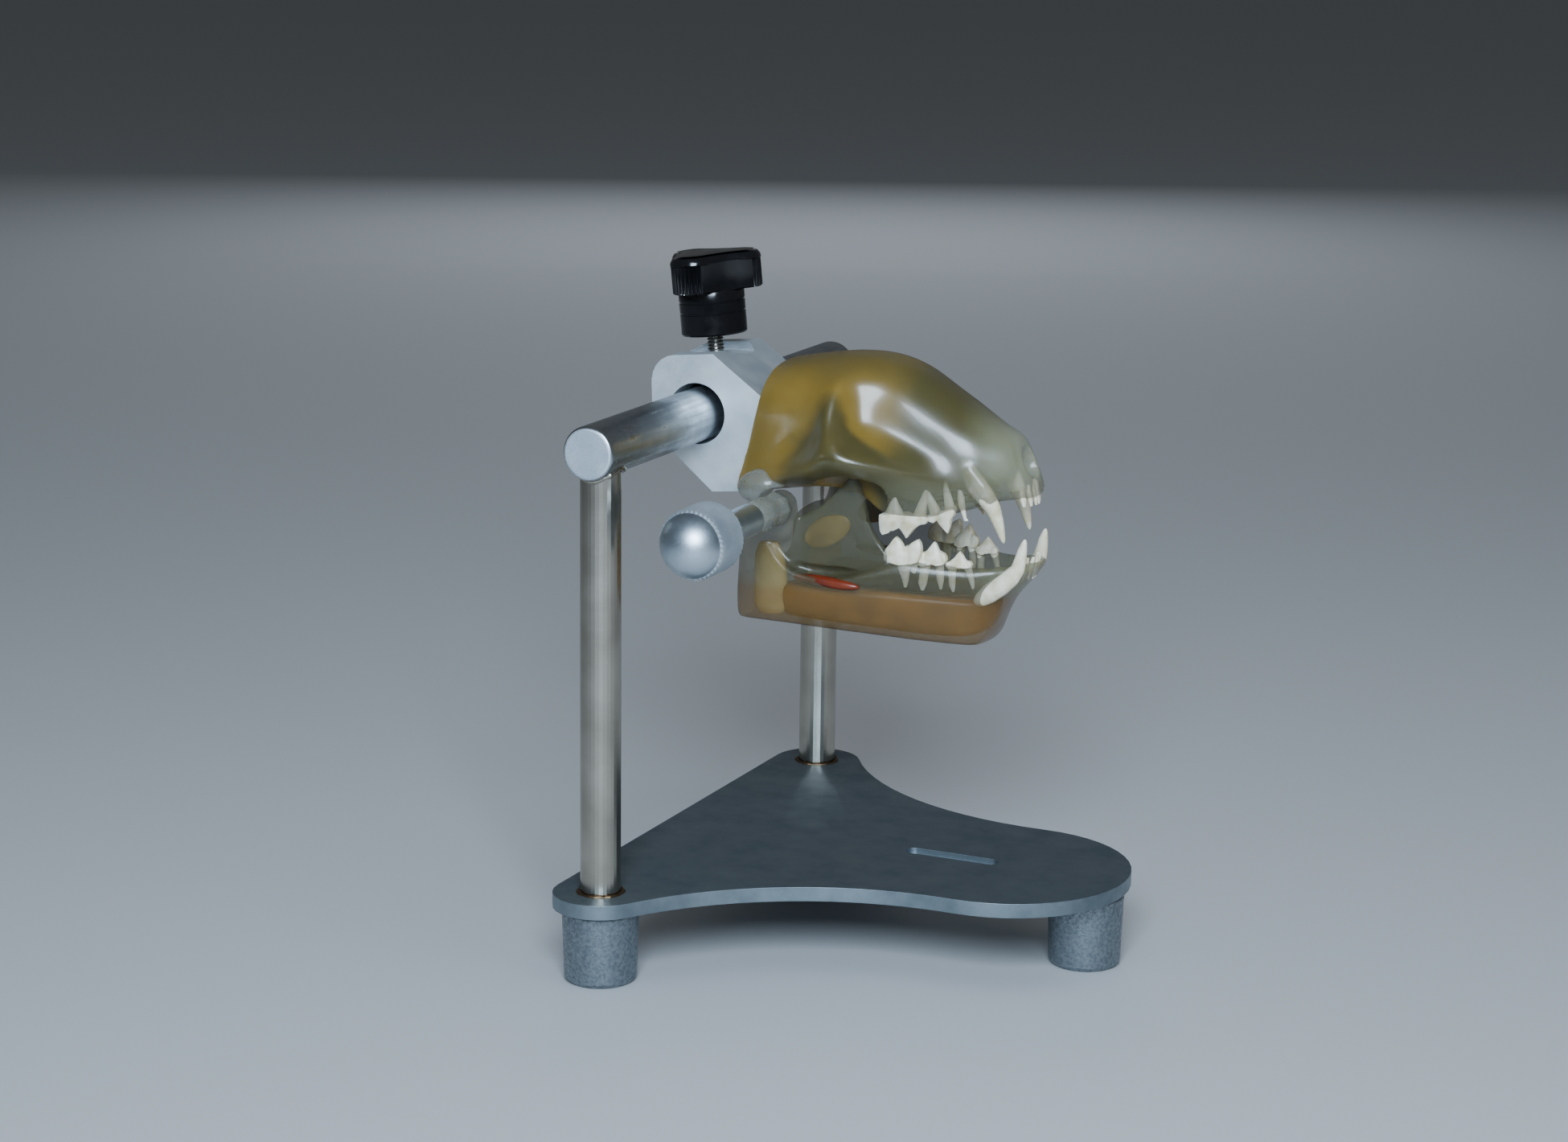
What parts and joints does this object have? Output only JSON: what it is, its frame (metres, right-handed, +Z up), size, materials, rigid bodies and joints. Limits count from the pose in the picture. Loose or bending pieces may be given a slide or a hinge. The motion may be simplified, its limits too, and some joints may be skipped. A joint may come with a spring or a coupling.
{
  "type": "cat skull dental teaching model on a bench stand",
  "caption": "Life-size clear resin cat skull with ivory teeth, jaws slightly open, clamped by its back to the crossbar of a small aluminium bench stand.",
  "frame": {"origin": "on the floor, under the middle of the model's box", "axes": "+X forward, towards the nose; +Y to the skull's left; +Z up"},
  "size_m": [0.122, 0.1466, 0.1653],
  "materials": {
    "dull_aluminium": "dull blotchy sawn plate",
    "worn_aluminium": "worn round bar with scuffs along it",
    "brushed_steel": "brushed along its length",
    "cast_aluminium": "rough cast",
    "satin_aluminium": "bead-blasted satin",
    "black_plastic": "moulded, glossy",
    "amber_resin": "cast translucent amber resin, satin",
    "clear_resin": "cast translucent resin with an amber core, satin"
  },
  "bodies": {
    "stand": {"base_plate": "dull_aluminium", "crossbar": "worn_aluminium", "post_left": "brushed_steel", "post_right": "brushed_steel", "foot_left": "cast_aluminium", "foot_right": "cast_aluminium", "foot_front": "cast_aluminium"},
    "skull": {"clamp_block": "satin_aluminium", "upper_skull": "amber_resin"},
    "knob": {"clamp_knob": "black_plastic"},
    "jaw": {"lower_jaw": "clear_resin"},
    "hinge_knob": {"jaw_knob": "satin_aluminium"}
  },
  "joints": [
    {"name": "clamp_tilt", "type": "hinge", "parent": "stand", "child": "skull", "pos_m": [-0.04653, 0, 0.12645], "axis": [0, 1, 0], "range_deg": [-60, 20]},
    {"name": "clamp_knob_turn", "type": "hinge", "parent": "skull", "child": "knob", "pos_m": [-0.04598, 0, 0.12695], "axis": [-0.1045, 0, 0.9945], "range_deg": [-180, 180]},
    {"name": "jaw_open", "type": "hinge", "parent": "skull", "child": "jaw", "pos_m": [-0.02123, 0, 0.10775], "axis": [0, 1, 0], "range_deg": [-3, 30]},
    {"name": "jaw_knob_turn", "type": "hinge", "parent": "skull", "child": "hinge_knob", "pos_m": [-0.02123, -0.0456, 0.10775], "axis": [0, 1, 0], "range_deg": [-180, 180]}
  ]
}
